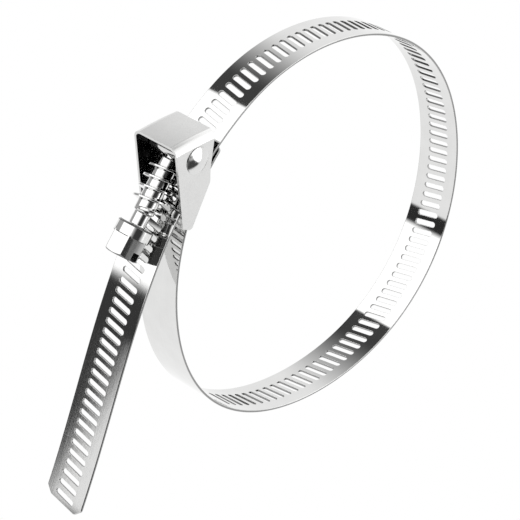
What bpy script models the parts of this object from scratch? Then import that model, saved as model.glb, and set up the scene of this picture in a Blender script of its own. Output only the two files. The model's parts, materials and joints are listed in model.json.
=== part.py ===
"""Quick-release worm-drive hose clamp: slotted strip band, folded bridge, trunnion, screw and washer.

All dimensions are millimetres in the loop frame: the hose's centre line is +Z through (0, 0), the band's
lower rim is at -Z, and the head of the clamp stands on the -Y side. The finished clamp is then moved so
that the middle of its underside is at the world origin.
"""

import math

import bmesh
import bpy
import numpy as np
from mathutils import Matrix, Vector

MM = 0.001

# Strip
BAND_WIDTH = 12.7
BAND_THICKNESS = 0.6
LOOP_RADIUS = 50.3
LOOP_WAVES = ((2, 0.31, 57.0), (3, 0.38, 98.3), (4, 0.48, -17.7))  # order, amplitude, phase in degrees
TONGUE_START_DEG = -107.0
TONGUE_DIP_FROM_DEG = -60.0
TONGUE_DIP = 0.8
LOOP_END_DEG = 241.0
TAIL_HANDLES = (36.1, (42.4, -50.7), (77.8, -48.1))  # handle length, last two Bezier points
TAIL_END_T = 1.05
TAIL_DIP = (0.4, -2.0, 6.0)  # how far the strip gives way under the thread, where, and over what length

# Slots
SLOT_PITCH = 2.62
SLOT_COUNT = 124
FIRST_SLOT_AT = 88.0
SLOT_LENGTH = 6.5
SLOT_WIDTH = 1.4
SLOT_TILT_DEG = 10.0
SLOT_END_STEPS = 4
TAIL_TIP = ((0.95, 0.5), (2.6, 0.35), (1.25, -0.35), (-0.45, -0.5))  # past the last slot, share of width
TONGUE_TIP = ((0.0, -0.5), (-1.6, -0.36), (-1.6, 0.36), (0.0, 0.5))

# Bridge
SHEET = 0.65
BRIDGE_HALF = 7.2
BRIDGE_OUTLINE = (
    (-11.6, -63.9),
    (6.3, -51.7),
    (6.2, -49.3),
    (5.2, -48.1),
    (-5.0, -48.1),
    (-9.2, -50.3),
    (-17.6, -53.0),
    (-18.1, -53.5),
)
FLOOR_TOP = -48.75
FLOOR_GAP = 4.4
FOLD_RADIUS = 2.2
FOOT_RADIUS = 0.85

# Trunnion
PIVOT = (-10.4, -55.7)
TRUNNION_RADIUS = 2.6
TRUNNION_HALF = 6.43
SPIGOT_RADIUS = 1.9
SPIGOT_CLEARANCE = 0.1
HEAD_RADIUS = 3.3
HEAD_HEIGHT = 0.95
SEAT_RADIUS = 2.75
SEAT_AT = 2.3

# Screw, distances along its axis from the pivot towards the head
SCREW_ANGLE_DEG = -10.0
THREAD_PITCH = SLOT_PITCH
THREAD_RADIUS = 4.2
CORE_RADIUS = 2.5
NECK_RADIUS = 2.05
JOURNAL_RADIUS = 1.5
JOURNAL_CLEARANCE = 0.1
SHOULDER_AT = 2.7
THREAD_PHASE_AT = 1.37
THREAD_FROM = 3.3
THREAD_TO = 15.9
THREAD_RAMP_DEG = 170.0
NECK_FROM = 16.3
COLLAR_FROM = 19.7
COLLAR_TO = 22.8
COLLAR_RADIUS = 4.45
HEX_ACROSS_FLATS = 7.94
HEX_TO = 27.7
HEX_TURN_DEG = 23.1
DRIVER_SLOT = (1.5, 2.2)  # width, depth
DRIVER_SLOT_DEG = 95.0
WASHER = (1.62, 2.6, 0.5)  # inner radius, outer radius, thickness

TURN_STEPS = 40


def clear_scene():
    """Removes everything the start-up file brought."""
    for obj in list(bpy.data.objects):
        bpy.data.objects.remove(obj, do_unlink=True)


def new_collection(name):
    """A collection linked to the scene."""
    collection = bpy.data.collections.new(name)
    bpy.context.scene.collection.children.link(collection)
    return collection


def steel(name, colour, roughness):
    """A plain metallic Principled material."""
    material = bpy.data.materials.new(name)
    material.use_nodes = True
    shader = material.node_tree.nodes["Principled BSDF"]
    shader.inputs["Base Color"].default_value = (*colour, 1.0)
    shader.inputs["Metallic"].default_value = 1.0
    shader.inputs["Roughness"].default_value = roughness
    return material


def object_from(bm, name, collection, material=None):
    """An object holding the bmesh, its faces turned outwards; lengths go from millimetres to metres."""
    bmesh.ops.recalc_face_normals(bm, faces=bm.faces)
    bmesh.ops.scale(bm, vec=(MM, MM, MM), verts=bm.verts)
    mesh = bpy.data.meshes.new(name)
    bm.to_mesh(mesh)
    bm.free()
    obj = bpy.data.objects.new(name, mesh)
    collection.objects.link(obj)
    if material:
        mesh.materials.append(material)
    return obj


def cutter(obj):
    """Marks a helper that only shapes other objects."""
    obj.hide_render = True
    obj.display_type = "WIRE"
    return obj


def boolean(obj, other, operation):
    """Adds an exact Boolean modifier."""
    modifier = obj.modifiers.new(f"{operation.lower()} {other.name}", "BOOLEAN")
    modifier.operation = operation
    modifier.solver = "EXACT"
    modifier.object = other


def prism(outline, low, high, place=None):
    """A bmesh prism: the outline in XY between two heights, moved by a matrix."""
    bm = bmesh.new()
    face = bm.faces.new([bm.verts.new((x, y, low)) for x, y in outline])
    top = bmesh.ops.extrude_face_region(bm, geom=[face])
    lifted = [item for item in top["geom"] if isinstance(item, bmesh.types.BMVert)]
    bmesh.ops.translate(bm, verts=lifted, vec=(0.0, 0.0, high - low))
    if place:
        bmesh.ops.transform(bm, matrix=place, verts=bm.verts)
    return bm


def lathe(name, profile, collection, material=None, steps=TURN_STEPS):
    """A Screw-modifier turning of (radius, height) points listed from top to bottom."""
    mesh = bpy.data.meshes.new(name)
    points = [(radius * MM, 0.0, height * MM) for radius, height in profile]
    mesh.from_pydata(points, [(i, i + 1) for i in range(len(points) - 1)], [])
    obj = bpy.data.objects.new(name, mesh)
    collection.objects.link(obj)
    if material:
        mesh.materials.append(material)
    turn = obj.modifiers.new("turn", "SCREW")
    turn.axis = "Z"
    turn.angle = math.tau
    turn.steps = steps
    turn.render_steps = steps
    turn.use_merge_vertices = True
    turn.merge_threshold = 0.000001
    return obj


def loop_point(degrees):
    """A point of the strip's centre line round the hose."""
    angle = math.radians(degrees)
    radius = LOOP_RADIUS
    for order, amplitude, phase in LOOP_WAVES:
        radius += amplitude * math.cos(order * (angle - math.radians(phase)))
    if degrees < TONGUE_DIP_FROM_DEG:
        share = (TONGUE_DIP_FROM_DEG - degrees) / (TONGUE_DIP_FROM_DEG - TONGUE_START_DEG)
        radius -= TONGUE_DIP * share * share
    return np.array([radius * math.cos(angle), radius * math.sin(angle)])


def tail_points(steps):
    """The tail: a Bezier that leaves the loop along its tangent."""
    start = loop_point(LOOP_END_DEG)
    tangent = loop_point(LOOP_END_DEG + 0.01) - loop_point(LOOP_END_DEG - 0.01)
    tangent /= np.linalg.norm(tangent)
    handle, third, end = TAIL_HANDLES
    t = np.linspace(0.0, TAIL_END_T, steps)[:, None]
    s = 1.0 - t
    second = start + handle * tangent
    points = s**3 * start + 3 * s * s * t * second + 3 * s * t * t * np.array(third) + t**3 * np.array(end)
    depth, middle, spread = TAIL_DIP
    points[:, 1] += depth * np.exp(-(((points[:, 0] - middle) / spread) ** 2))
    return points


def centre_line():
    """Cumulative length and points of the whole strip, from the tongue's tip to past the tail's end."""
    angles = np.arange(TONGUE_START_DEG, LOOP_END_DEG, 0.25)
    loop = np.array([loop_point(angle) for angle in angles])
    points = np.vstack([loop, tail_points(600)])
    lengths = np.linalg.norm(np.diff(points, axis=0), axis=1)
    return np.concatenate([[0.0], np.cumsum(lengths)]), points


def point_at(line, distance):
    """A point at a distance along the centre line."""
    lengths, points = line
    return np.array([np.interp(distance, lengths, points[:, axis]) for axis in (0, 1)])


def slot_outline():
    """One slot's outline: x along the strip, y across it."""
    reach = (SLOT_LENGTH - SLOT_WIDTH) / 2
    outline = []
    for end in (0.0, math.pi):
        for step in range(SLOT_END_STEPS + 1):
            angle = end + math.pi * step / SLOT_END_STEPS
            x = SLOT_WIDTH / 2 * math.cos(angle)
            y = SLOT_WIDTH / 2 * math.sin(angle) + math.copysign(reach, math.sin(end + 1.0))
            outline.append((x, y))
    turn = math.radians(-SLOT_TILT_DEG)
    return [
        (x * math.cos(turn) - y * math.sin(turn), x * math.sin(turn) + y * math.cos(turn)) for x, y in outline
    ]


def facet_frame(first, second):
    """A matrix at the middle of a facet: x along it, y up the strip's width, z out of its face."""
    along = (second - first) / np.linalg.norm(second - first)
    middle = (first + second) / 2
    x_axis = Vector((along[0], along[1], 0.0))
    y_axis = Vector((0.0, 0.0, 1.0))
    z_axis = x_axis.cross(y_axis)
    frame = Matrix((x_axis, y_axis, z_axis)).transposed().to_4x4()
    frame.translation = Vector((middle[0], middle[1], 0.0))
    return frame


def make_slot_cutter(line, collection):
    """Every slot's prism in one object."""
    joined = bmesh.new()
    outline = slot_outline()
    for slot in range(SLOT_COUNT):
        centre = FIRST_SLOT_AT + slot * SLOT_PITCH
        ends = [point_at(line, centre + side * SLOT_PITCH / 2) for side in (-1, 1)]
        piece = prism(outline, -0.55, 0.55, facet_frame(*ends))
        mesh = bpy.data.meshes.new("slot")
        bmesh.ops.recalc_face_normals(piece, faces=piece.faces)
        piece.to_mesh(mesh)
        piece.free()
        joined.from_mesh(mesh)
        bpy.data.meshes.remove(mesh)
    return cutter(object_from(joined, "slot_cutter", collection))


def make_band(line, parts, cutters):
    """The strip: tongue, loop, slotted length and tail in one piece."""
    bm = bmesh.new()
    half = BAND_WIDTH / 2
    first = FIRST_SLOT_AT - SLOT_PITCH / 2
    before = int(first // SLOT_PITCH)
    stations = [first + step * SLOT_PITCH for step in range(1 - before, SLOT_COUNT)]
    rows = []
    for distance in stations:
        x, y = point_at(line, distance)
        rows.append([bm.verts.new((x, y, side * half)) for side in (-1, 1)])
    for row, following in zip(rows, rows[1:]):
        bm.faces.new((row[0], following[0], following[1], row[1]))
    tip = []
    for past, share in TAIL_TIP:
        distance = FIRST_SLOT_AT + (SLOT_COUNT - 1) * SLOT_PITCH + past
        x, y = point_at(line, distance)
        tip.append(bm.verts.new((x, y, share * BAND_WIDTH)))
    bm.faces.new((rows[-1][1], rows[-1][0], *reversed(tip)))
    tongue = []
    for past, share in TONGUE_TIP:
        x, y = point_at(line, stations[0] - SLOT_PITCH + 0.9 + past)
        tongue.append(bm.verts.new((x, y, share * BAND_WIDTH)))
    bm.faces.new((rows[0][0], rows[0][1], *reversed(tongue)))
    band = object_from(bm, "band", parts, steel("band_steel", (0.80, 0.80, 0.79), 0.12))
    thicken = band.modifiers.new("thickness", "SOLIDIFY")
    thicken.thickness = BAND_THICKNESS * MM
    thicken.offset = 0.0
    thicken.use_even_offset = True
    boolean(band, make_slot_cutter(line, cutters), "DIFFERENCE")
    return band


def bevel_edges_along(bm, start, end, radius, segments=4):
    """Rounds the edges that run in XY between two outline points."""
    chosen = []
    for edge in bm.edges:
        ends = [vert.co.xy for vert in edge.verts]
        if abs(edge.verts[0].co.z - edge.verts[1].co.z) > 1e-6:
            continue
        if all(min((p - Vector(q)).length for q in (start, end)) < 1e-4 for p in ends):
            chosen.append(edge)
    bmesh.ops.bevel(
        bm, geom=chosen, offset=radius, segments=segments, profile=0.5, affect="EDGES", clamp_overlap=True
    )


def make_bridge(parts, cutters):
    """The folded sheet stirrup: top plate, two cheeks and feet turned in under the strip."""
    outline = BRIDGE_OUTLINE
    outer = prism(outline, -BRIDGE_HALF, BRIDGE_HALF)
    bevel_edges_along(outer, outline[-1], outline[0], FOLD_RADIUS)
    bevel_edges_along(outer, outline[3], outline[4], FOOT_RADIUS, 3)
    bridge = object_from(outer, "bridge", parts, steel("bridge_steel", (0.74, 0.74, 0.73), 0.16))

    front, back = Vector(outline[0]), Vector(outline[-1])
    along = (front - back).normalized()
    inward = Vector((-along.y, along.x)) * SHEET
    inner_outline = (
        tuple(front + inward + along * 6.0),
        (18.0, -60.0),
        (18.0, FLOOR_TOP),
        (-26.0, FLOOR_TOP),
        tuple(back + inward - along * 3.0),
    )
    inner = prism(inner_outline, SHEET - BRIDGE_HALF, BRIDGE_HALF - SHEET)
    bevel_edges_along(inner, inner_outline[-1], inner_outline[0], FOLD_RADIUS - SHEET)
    bevel_edges_along(inner, inner_outline[2], inner_outline[3], 0.25, 2)
    boolean(bridge, cutter(object_from(inner, "bridge_hollow", cutters)), "DIFFERENCE")

    gap_outline = ((-8.0, -49.2), (8.0, -49.2), (8.0, -47.0), (-8.0, -47.0))
    gap = prism(gap_outline, -FLOOR_GAP / 2, FLOOR_GAP / 2)
    boolean(bridge, cutter(object_from(gap, "foot_gap", cutters)), "DIFFERENCE")

    radius = SPIGOT_RADIUS + SPIGOT_CLEARANCE
    hole = lathe("pivot_bore", ((0, 9.0), (radius, 9.0), (radius, -9.0), (0, -9.0)), cutters)
    hole.location = (PIVOT[0] * MM, PIVOT[1] * MM, 0.0)
    boolean(bridge, cutter(hole), "DIFFERENCE")
    return bridge


def screw_frame():
    """Places the screw: local Z along its axis towards the head, local Y up."""
    angle = math.radians(SCREW_ANGLE_DEG)
    axis = Vector((math.cos(angle), math.sin(angle), 0.0))
    up = Vector((0.0, 0.0, 1.0))
    frame = Matrix((up.cross(axis), up, axis)).transposed().to_4x4()
    frame.translation = Vector((PIVOT[0] * MM, PIVOT[1] * MM, 0.0))
    return frame


def make_trunnion(parts, cutters):
    """The turned bar that carries the screw's tip, with a headed spigot through each cheek."""
    seat = BRIDGE_HALF + 0.08
    upper = (
        (0.0, seat + HEAD_HEIGHT),
        (HEAD_RADIUS * 0.22, seat + HEAD_HEIGHT * 0.96),
        (HEAD_RADIUS * 0.62, seat + HEAD_HEIGHT * 0.62),
        (HEAD_RADIUS * 0.93, seat + HEAD_HEIGHT * 0.22),
        (HEAD_RADIUS, seat + HEAD_HEIGHT * 0.05),
        (HEAD_RADIUS * 0.97, seat),
        (SPIGOT_RADIUS, seat),
        (SPIGOT_RADIUS, TRUNNION_HALF),
        (TRUNNION_RADIUS - 0.2, TRUNNION_HALF),
        (TRUNNION_RADIUS, TRUNNION_HALF - 0.2),
    )
    lower = tuple((radius, -height) for radius, height in reversed(upper))
    material = steel("trunnion_steel", (0.78, 0.78, 0.77), 0.18)
    trunnion = lathe("trunnion", upper + lower, parts, material)
    trunnion.location = (PIVOT[0] * MM, PIVOT[1] * MM, 0.0)
    bore = JOURNAL_RADIUS + JOURNAL_CLEARANCE
    tool = lathe(
        "cross_bore",
        (
            (0, 8.0),
            (SEAT_RADIUS, 8.0),
            (SEAT_RADIUS, SEAT_AT),
            (bore, SEAT_AT),
            (bore, -SEAT_AT),
            (SEAT_RADIUS, -SEAT_AT),
            (SEAT_RADIUS, -8.0),
            (0, -8.0),
        ),
        cutters,
    )
    tool.matrix_world = screw_frame()
    boolean(trunnion, cutter(tool), "DIFFERENCE")
    return trunnion


def thread_ridge(cutters):
    """The worm's thread: a tapered-in helical ridge that starts and ends inside the core."""
    bm = bmesh.new()
    turn_from = (THREAD_FROM - THREAD_PHASE_AT) / THREAD_PITCH * 360.0
    turn_to = (THREAD_TO - THREAD_PHASE_AT) / THREAD_PITCH * 360.0
    count = int((turn_to - turn_from) / 360.0 * TURN_STEPS)
    root = CORE_RADIUS - 0.25
    rings = []
    for step in range(count + 1):
        turned = turn_from + (turn_to - turn_from) * step / count
        ramp = min(1.0, (turned - turn_from) / THREAD_RAMP_DEG, (turn_to - turned) / THREAD_RAMP_DEG)
        crest = root + 0.12 + (THREAD_RADIUS - root - 0.12) * math.sin(ramp * math.pi / 2)
        height = THREAD_PHASE_AT + THREAD_PITCH * turned / 360.0
        angle = math.radians(turned)
        profile = ((root, -0.52), (crest, -0.24), (crest, 0.24), (root, 0.52))
        rings.append(
            [
                bm.verts.new((radius * math.cos(angle), radius * math.sin(angle), height + offset))
                for radius, offset in profile
            ]
        )
    for ring, following in zip(rings, rings[1:]):
        for corner in range(4):
            after = (corner + 1) % 4
            bm.faces.new((ring[corner], ring[after], following[after], following[corner]))
    bm.faces.new(rings[0])
    bm.faces.new(reversed(rings[-1]))
    return cutter(object_from(bm, "thread_ridge", cutters))


def make_hex(cutters):
    """The hexagon with its end corners turned off."""
    radius = HEX_ACROSS_FLATS / math.sqrt(3.0)
    outline = []
    for corner in range(6):
        angle = math.radians(HEX_TURN_DEG + 60.0 * corner)
        outline.append((radius * math.cos(angle), radius * math.sin(angle)))
    hexagon = object_from(prism(outline, COLLAR_TO - 0.4, HEX_TO), "hexagon", cutters)
    flat = HEX_ACROSS_FLATS / 2 - 0.35
    turning = lathe(
        "hex_chamfer",
        ((0, HEX_TO + 0.2), (flat, HEX_TO + 0.2), (flat, HEX_TO), (radius + 0.3, HEX_TO - 0.75),
         (radius + 0.3, COLLAR_TO - 1.0), (0, COLLAR_TO - 1.0)),
        cutters,
    )
    boolean(hexagon, cutter(turning), "INTERSECT")
    return cutter(hexagon)


def make_screw(parts, cutters):
    """The worm screw in one piece: journal, threaded core, neck, collar and slotted hexagon."""
    washer_face = -SEAT_AT - 0.1 - WASHER[2]
    profile = (
        (0.0, COLLAR_TO),
        (COLLAR_RADIUS - 0.3, COLLAR_TO),
        (COLLAR_RADIUS, COLLAR_TO - 0.3),
        (COLLAR_RADIUS, COLLAR_FROM + 0.45),
        (COLLAR_RADIUS - 0.45, COLLAR_FROM),
        (NECK_RADIUS, COLLAR_FROM),
        (NECK_RADIUS, NECK_FROM + 0.4),
        (CORE_RADIUS, NECK_FROM),
        (CORE_RADIUS, SHOULDER_AT + 0.2),
        (CORE_RADIUS - 0.2, SHOULDER_AT),
        (JOURNAL_RADIUS, SHOULDER_AT),
        (JOURNAL_RADIUS, washer_face - 0.1),
        (JOURNAL_RADIUS + 0.35, washer_face - 0.1),
        (JOURNAL_RADIUS + 0.35, washer_face - 0.25),
        (JOURNAL_RADIUS - 0.1, washer_face - 0.5),
        (0.0, washer_face - 0.5),
    )
    screw = lathe("screw", profile, parts, steel("screw_steel", (0.83, 0.83, 0.82), 0.10))
    boolean(screw, thread_ridge(cutters), "UNION")
    boolean(screw, make_hex(cutters), "UNION")
    width, depth = DRIVER_SLOT
    outline = ((-8.0, -width / 2), (8.0, -width / 2), (8.0, width / 2), (-8.0, width / 2))
    turned = Matrix.Rotation(math.radians(DRIVER_SLOT_DEG), 4, "Z")
    slot = cutter(object_from(prism(outline, HEX_TO - depth, HEX_TO + 1.0, turned), "driver_slot", cutters))
    boolean(screw, slot, "DIFFERENCE")
    for helper in ("thread_ridge", "hexagon", "hex_chamfer", "driver_slot"):
        bpy.data.objects[helper].matrix_world = screw_frame()
    screw.matrix_world = screw_frame()
    return screw


def make_washer(parts):
    """The plain washer that the riveted-over tip holds against the trunnion."""
    inner, outer, thickness = WASHER
    top = -SEAT_AT - 0.05
    bottom = top - thickness
    profile = ((inner, top), (outer, top), (outer, bottom), (inner, bottom), (inner, top))
    washer = lathe("tip_washer", profile, parts, steel("washer_steel", (0.72, 0.72, 0.71), 0.25))
    washer.matrix_world = screw_frame()
    return washer


def stand_on_origin(parts, cutters):
    """Parents everything to one empty and moves it so the underside's middle is at the origin."""
    bpy.context.view_layer.update()
    graph = bpy.context.evaluated_depsgraph_get()
    low = Vector((math.inf,) * 3)
    high = Vector((-math.inf,) * 3)
    for obj in parts.objects:
        shape = obj.evaluated_get(graph)
        for corner in shape.bound_box:
            world = shape.matrix_world @ Vector(corner)
            low = Vector(map(min, low, world))
            high = Vector(map(max, high, world))
    root = bpy.data.objects.new("clamp_root", None)
    parts.objects.link(root)
    root.location = (-(low.x + high.x) / 2, -(low.y + high.y) / 2, -low.z)
    for obj in list(parts.objects) + list(cutters.objects):
        if obj is not root:
            obj.parent = root
    pivot = Vector((PIVOT[0] * MM, PIVOT[1] * MM, 0.0)) + root.location
    print("root at", tuple(round(v, 6) for v in root.location), "pivot at", tuple(round(v, 6) for v in pivot))


def main():
    clear_scene()
    parts = new_collection("hose_clamp")
    cutters = new_collection("cutters")
    line = centre_line()
    make_band(line, parts, cutters)
    make_bridge(parts, cutters)
    make_trunnion(parts, cutters)
    make_screw(parts, cutters)
    make_washer(parts)
    stand_on_origin(parts, cutters)


main()
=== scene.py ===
"""Looks of the quick-release hose clamp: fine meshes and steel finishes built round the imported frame.

Inside the classes lengths are millimetres in the loop frame: the hose's centre line is +Z through the
origin, the strip's lower rim is at -Z and the clamp's head stands on the -Y side. Each finished mesh is
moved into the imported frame, in metres, with its object left at the origin.
"""

import json
import logging
import math
from collections.abc import Callable
from dataclasses import dataclass, field
from enum import Enum

import bmesh
import bpy
import numpy as np
from mathutils import Matrix, Vector


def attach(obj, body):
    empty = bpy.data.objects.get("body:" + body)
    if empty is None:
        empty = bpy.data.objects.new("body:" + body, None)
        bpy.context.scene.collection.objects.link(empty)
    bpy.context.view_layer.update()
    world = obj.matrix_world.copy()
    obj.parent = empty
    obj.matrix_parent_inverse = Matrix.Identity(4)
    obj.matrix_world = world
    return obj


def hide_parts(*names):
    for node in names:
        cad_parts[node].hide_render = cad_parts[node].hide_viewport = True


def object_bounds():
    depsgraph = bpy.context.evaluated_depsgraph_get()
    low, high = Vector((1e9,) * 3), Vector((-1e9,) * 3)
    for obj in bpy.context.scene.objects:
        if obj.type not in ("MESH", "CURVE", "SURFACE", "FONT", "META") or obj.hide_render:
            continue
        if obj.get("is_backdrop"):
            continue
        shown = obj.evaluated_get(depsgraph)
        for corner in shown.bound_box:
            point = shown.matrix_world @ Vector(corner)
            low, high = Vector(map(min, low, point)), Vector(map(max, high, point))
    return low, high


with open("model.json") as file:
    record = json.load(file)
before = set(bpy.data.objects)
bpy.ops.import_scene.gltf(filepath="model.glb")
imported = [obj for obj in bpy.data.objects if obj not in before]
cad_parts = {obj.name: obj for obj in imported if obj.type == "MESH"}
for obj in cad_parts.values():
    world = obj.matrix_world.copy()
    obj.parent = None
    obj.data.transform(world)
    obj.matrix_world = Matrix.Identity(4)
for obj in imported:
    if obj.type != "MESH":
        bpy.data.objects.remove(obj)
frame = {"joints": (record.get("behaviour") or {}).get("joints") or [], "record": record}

LOG = logging.getLogger("hose_clamp")
MM = 0.001
MICROMETRE = 1e-6
DULLING_AND_SHADE = "dull"  # the attribute that says how far a face or a point is darkened and dulled: duller edges in part, painted shade in part
# How far the strip's rims and slot walls are darkened: duller sheared steel, and painted shade.
SHEARED_DULLING_AND_SHADE = 0.62
Profile = list[tuple[float, float]]
Points = list[tuple[float, float]]


class Body(Enum):
    """The rigid bodies that the pieces ride on."""

    CLAMP = "clamp"
    SWIVEL = "swivel"
    SCREW = "screw"


class Grain(Enum):
    """Which way a steel surface was worked."""

    ROLLED = "rolled along the strip"
    PRESSED = "pressed sheet, no direction"
    TURNED = "turned round its axis"


class Carve(Enum):
    """What a Boolean does with its tool."""

    JOIN = "UNION"
    CUT = "DIFFERENCE"
    KEEP = "INTERSECT"


# ---------------------------------------------------------------------------------------------- placing


def loop_to_world() -> Matrix:
    """Matrix from the loop frame, in millimetres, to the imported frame, in metres."""
    mounts = {mount["name"]: mount for mount in frame["record"]["mounts"]}
    centre = Vector(mounts["hose_seat"]["pos_m"])
    return Matrix.Translation(centre) @ Matrix.Scale(MM, 4)


def joint(name: str) -> dict:
    """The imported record's joint of that name."""
    return next(item for item in frame["joints"] if item["name"] == name)


def screw_to_loop() -> Matrix:
    """Matrix of the screw's own frame: Z along its axis towards the head, Y up, origin on the pivot."""
    pivot = loop_to_world().inverted() @ Vector(joint("screw_turn")["pos_m"])
    axis = Vector(joint("screw_turn")["axis"]).normalized()
    up = Vector((0.0, 0.0, 1.0))
    place = Matrix((up.cross(axis), up, axis)).transposed().to_4x4()
    place.translation = pivot
    return place


# ---------------------------------------------------------------------------------------------- meshes


def object_of(bm: bmesh.types.BMesh, name: str) -> bpy.types.Object:
    """Makes an object of a bmesh, with its faces turned outwards.

    Args:
        bm: The mesh, which is freed.
        name: The object's name.

    Returns:
        The new object, linked to the scene.
    """
    bmesh.ops.recalc_face_normals(bm, faces=bm.faces)
    mesh = bpy.data.meshes.new(name)
    bm.to_mesh(mesh)
    bm.free()
    obj = bpy.data.objects.new(name, mesh)
    bpy.context.scene.collection.objects.link(obj)
    return obj


def settle(obj: bpy.types.Object) -> bpy.types.Object:
    """Turns an object and its modifiers into a plain mesh of its own."""
    graph = bpy.context.evaluated_depsgraph_get()
    mesh = bpy.data.meshes.new_from_object(obj.evaluated_get(graph))
    old = obj.data
    obj.modifiers.clear()
    obj.data = mesh
    mesh.name = obj.name
    if old.users == 0:
        bpy.data.meshes.remove(old)
    return obj


def carve(obj: bpy.types.Object, tool: bpy.types.Object, how: Carve) -> bpy.types.Object:
    """Applies an exact Boolean and removes the tool.

    Args:
        obj: The piece that is changed.
        tool: The closed mesh that it is joined with or cut by.
        how: The operation.

    Returns:
        The piece, as a plain mesh.
    """
    modifier = obj.modifiers.new(how.name, "BOOLEAN")
    modifier.operation = how.value
    modifier.solver = "EXACT"
    modifier.object = tool
    settle(obj)
    bpy.data.objects.remove(tool, do_unlink=True)
    return obj


def clean(obj: bpy.types.Object, weld: float = 1e-4) -> bpy.types.Object:
    """Welds doubles and dissolves the needless edges that Booleans leave in flat faces."""
    bm = bmesh.new()
    bm.from_mesh(obj.data)
    bmesh.ops.remove_doubles(bm, verts=bm.verts, dist=weld)
    bmesh.ops.dissolve_limit(
        bm, angle_limit=math.radians(0.3), use_dissolve_boundaries=False, verts=bm.verts, edges=bm.edges
    )
    bm.to_mesh(obj.data)
    bm.free()
    return obj


def weld(obj: bpy.types.Object, distance: float = 0.003) -> bpy.types.Object:
    """Joins vertices nearer than a distance in millimetres, so that no sliver is left."""
    bm = bmesh.new()
    bm.from_mesh(obj.data)
    bmesh.ops.dissolve_degenerate(bm, dist=distance, edges=bm.edges)
    bmesh.ops.remove_doubles(bm, verts=bm.verts, dist=distance)
    open_edges = sum(1 for edge in bm.edges if not edge.is_manifold)
    LOG.info("%s: %d open edges", obj.name, open_edges)
    bm.to_mesh(obj.data)
    bm.free()
    return obj


def ease_edges(obj: bpy.types.Object, width: float, angle: float = 28.0) -> bpy.types.Object:
    """Rounds every edge sharper than an angle and gives the flats true normals.

    Args:
        obj: The piece.
        width: The rounding's width in millimetres.
        angle: The angle in degrees between faces past which an edge is rounded.

    Returns:
        The piece, as a plain mesh with smooth shading.
    """
    bevel = obj.modifiers.new("ease", "BEVEL")
    bevel.width = width
    bevel.segments = 3
    bevel.limit_method = "ANGLE"
    bevel.angle_limit = math.radians(angle)
    bevel.use_clamp_overlap = True
    settle(obj)
    return shade(weld(obj), 40.0)


def shade(obj: bpy.types.Object, sharp: float) -> bpy.types.Object:
    """Smooth shading with large faces leading, and sharp past an angle in degrees."""
    obj.data.shade_smooth()
    obj.data.set_sharp_from_angle(angle=math.radians(sharp))
    weighted = obj.modifiers.new("weighted", "WEIGHTED_NORMAL")
    weighted.keep_sharp = True
    weighted.weight = 90
    return settle(obj)


def prism(outline: Points, low: float, high: float) -> bmesh.types.BMesh:
    """A prism on an outline in XY between two heights."""
    bm = bmesh.new()
    face = bm.faces.new([bm.verts.new((x, y, low)) for x, y in outline])
    lifted = bmesh.ops.extrude_face_region(bm, geom=[face])["geom"]
    verts = [item for item in lifted if isinstance(item, bmesh.types.BMVert)]
    bmesh.ops.translate(bm, verts=verts, vec=(0.0, 0.0, high - low))
    return bm


def turned(profile: Profile, steps: int) -> bmesh.types.BMesh:
    """A closed turning.

    Args:
        profile: (radius, height) points. A point at radius 0 closes the shape; without one at each end, the
            profile is a closed ring's.
        steps: How many faces run round the axis.

    Returns:
        The turning, about Z.
    """
    bm = bmesh.new()
    rings = []
    for radius, height in profile:
        if radius < 1e-9:
            rings.append([bm.verts.new((0.0, 0.0, height))] * steps)
            continue
        angles = [math.tau * step / steps for step in range(steps)]
        rings.append([bm.verts.new((radius * math.cos(a), radius * math.sin(a), height)) for a in angles])
    pairs = list(zip(rings, rings[1:]))
    if profile[0][0] > 1e-9:
        pairs.append((rings[-1], rings[0]))
    for ring, following in pairs:
        for step in range(steps):
            after = (step + 1) % steps
            corners = dict.fromkeys((ring[step], ring[after], following[after], following[step]))
            bm.faces.new(list(corners))
    return bm


def filleted(points: Points, radius: float, closed: bool = True, steps: int = 6) -> Points:
    """Rounds the corners of an outline with arcs.

    Args:
        points: The corners in order.
        radius: The arcs' radius, made smaller where a side is too short for it.
        closed: Whether the last point joins the first.
        steps: How many chords make an arc.

    Returns:
        The rounded outline.
    """
    count = len(points)
    rounded: Points = []
    for index, point in enumerate(points):
        if not closed and index in (0, count - 1):
            rounded.append(point)
            continue
        here = Vector(point)
        before = Vector(points[index - 1]) - here
        after = Vector(points[(index + 1) % count]) - here
        turn = math.pi - before.angle(after)
        reach = min(radius * math.tan(turn / 2), 0.45 * before.length, 0.45 * after.length)
        fitted = reach / math.tan(turn / 2)
        inward = (before.normalized() + after.normalized()).normalized()
        centre = here + inward * math.hypot(fitted, reach)
        first = here + before.normalized() * reach - centre
        last = here + after.normalized() * reach - centre
        sweep = math.atan2(first.x * last.y - first.y * last.x, first.dot(last))
        for step in range(steps + 1):
            angle = sweep * step / steps
            swung = Vector((first.x * math.cos(angle) - first.y * math.sin(angle),
                            first.x * math.sin(angle) + first.y * math.cos(angle)))
            rounded.append(tuple(centre + swung))
    return rounded


def rounded_profile(corners: Profile, radius: float, steps: int = 4) -> Profile:
    """A turning's profile with its inner corners rounded; the first and last points stay."""
    return filleted(corners, radius, closed=False, steps=steps)


def mark_dulling_and_shade(obj: bpy.types.Object, rule: Callable[[Vector, Vector], float]) -> None:
    """Stores how far each face is darkened and dulled: edges, as duller steel and painted shade, and painted
    shade inside slots and on the stirrup's inside faces.

    Args:
        obj: The piece, still where it was modelled.
        rule: Gives a face's darkening, from 0 to 1, from its middle and its normal.
    """
    values = [rule(face.center, face.normal) for face in obj.data.polygons]
    obj.data.attributes.new(DULLING_AND_SHADE, "FLOAT", "FACE").data.foreach_set("value", values)


def finish_piece(obj: bpy.types.Object, place: Matrix, material: bpy.types.Material) -> bpy.types.Object:
    """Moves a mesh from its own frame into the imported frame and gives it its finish."""
    obj.data.transform(loop_to_world() @ place)
    obj.data.materials.clear()
    obj.data.materials.append(material)
    return obj


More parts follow.
